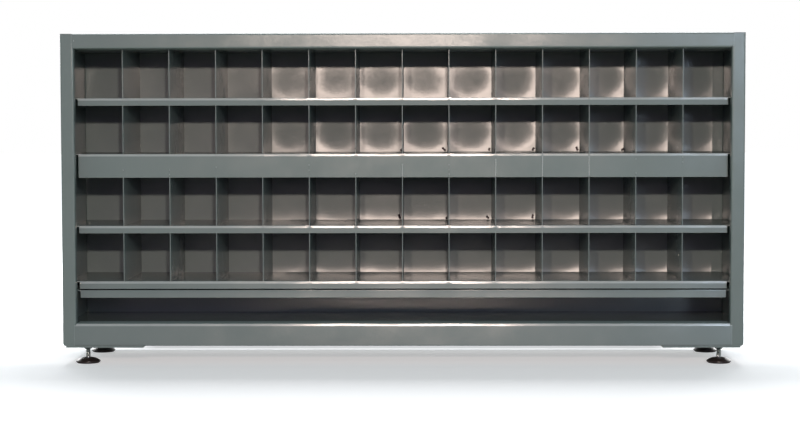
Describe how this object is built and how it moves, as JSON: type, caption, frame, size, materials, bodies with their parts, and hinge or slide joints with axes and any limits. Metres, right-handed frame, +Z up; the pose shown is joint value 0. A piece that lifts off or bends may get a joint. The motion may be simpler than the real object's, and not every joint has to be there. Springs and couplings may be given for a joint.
{
  "type": "pigeonhole mail sorter",
  "caption": "Long low sheet-steel cabinet with rows of pigeonholes in an egg-crate insert above an open full-width slot, on screw-in levelling feet.",
  "frame": {"origin": "middle of the footprint, on the floor under the feet", "axes": "+X along the width to the sorter's right as seen from the front, +Y to the back, +Z up"},
  "size_m": [1.829, 0.356, 0.89],
  "materials": {
    "enamel": "semi-gloss baked enamel",
    "fixings": "zinc plated",
    "stud_zinc": "bright zinc plated",
    "pad_black": "moulded, low sheen",
    "sole_rubber": "matt"
  },
  "bodies": {
    "root": {"side_panel_left": "enamel", "side_panel_right": "enamel", "top_panel": "enamel", "bottom_rail": "enamel", "rear_rail": "enamel", "floor_panel": "enamel", "back_panel": "enamel", "support_shelf": "enamel", "insert_side_left": "enamel", "insert_side_right": "enamel", "insert_top": "enamel", "foot_weld_nuts": "enamel", "shelf_1": "enamel", "shelf_2": "enamel", "shelf_3": "enamel", "shelf_4": "enamel", "divider_01": "enamel", "divider_02": "enamel", "divider_03": "enamel", "divider_04": "enamel", "divider_05": "enamel", "divider_06": "enamel", "divider_07": "enamel", "divider_08": "enamel", "divider_09": "enamel", "divider_10": "enamel", "divider_11": "enamel", "divider_12": "enamel", "divider_13": "enamel", "corner_plate_front_left": "enamel", "corner_plate_front_right": "enamel", "corner_plate_rear_left": "enamel", "corner_plate_rear_right": "enamel", "insert_bolts": "fixings", "insert_nuts": "fixings"},
    "pad_front_left": {"leveller_pad_front_left": "pad_black", "leveller_sole_front_left": "sole_rubber"},
    "stud_front_left": {"leveller_stud_front_left": "stud_zinc"},
    "pad_front_right": {"leveller_pad_front_right": "pad_black", "leveller_sole_front_right": "sole_rubber"},
    "stud_front_right": {"leveller_stud_front_right": "stud_zinc"},
    "pad_rear_left": {"leveller_pad_rear_left": "pad_black", "leveller_sole_rear_left": "sole_rubber"},
    "stud_rear_left": {"leveller_stud_rear_left": "stud_zinc"},
    "pad_rear_right": {"leveller_pad_rear_right": "pad_black", "leveller_sole_rear_right": "sole_rubber"},
    "stud_rear_right": {"leveller_stud_rear_right": "stud_zinc"}
  },
  "joints": [
    {"name": "foot_front_left_travel", "type": "slide", "parent": "root", "child": "pad_front_left", "axis": [0, 0, 1], "range_m": [-0.025, 0.015]},
    {"name": "foot_front_left_turn", "type": "hinge", "parent": "pad_front_left", "child": "stud_front_left", "pos_m": [-0.857, -0.121, 0.015], "axis": [0, 0, 1], "range_deg": [-4607, 2765]},
    {"name": "foot_front_right_travel", "type": "slide", "parent": "root", "child": "pad_front_right", "axis": [0, 0, 1], "range_m": [-0.025, 0.015]},
    {"name": "foot_front_right_turn", "type": "hinge", "parent": "pad_front_right", "child": "stud_front_right", "pos_m": [0.857, -0.121, 0.015], "axis": [0, 0, 1], "range_deg": [-4607, 2765]},
    {"name": "foot_rear_left_travel", "type": "slide", "parent": "root", "child": "pad_rear_left", "axis": [0, 0, 1], "range_m": [-0.025, 0.015]},
    {"name": "foot_rear_left_turn", "type": "hinge", "parent": "pad_rear_left", "child": "stud_rear_left", "pos_m": [-0.857, 0.121, 0.015], "axis": [0, 0, 1], "range_deg": [-4607, 2765]},
    {"name": "foot_rear_right_travel", "type": "slide", "parent": "root", "child": "pad_rear_right", "axis": [0, 0, 1], "range_m": [-0.025, 0.015]},
    {"name": "foot_rear_right_turn", "type": "hinge", "parent": "pad_rear_right", "child": "stud_rear_right", "pos_m": [0.857, 0.121, 0.015], "axis": [0, 0, 1], "range_deg": [-4607, 2765]}
  ],
  "couplings": [
    {"joint": "foot_front_left_turn", "follows": "foot_front_left_travel", "rad_per_m": 3215.8},
    {"joint": "foot_front_right_turn", "follows": "foot_front_right_travel", "rad_per_m": 3215.8},
    {"joint": "foot_rear_left_turn", "follows": "foot_rear_left_travel", "rad_per_m": 3215.8},
    {"joint": "foot_rear_right_turn", "follows": "foot_rear_right_travel", "rad_per_m": 3215.8}
  ]
}
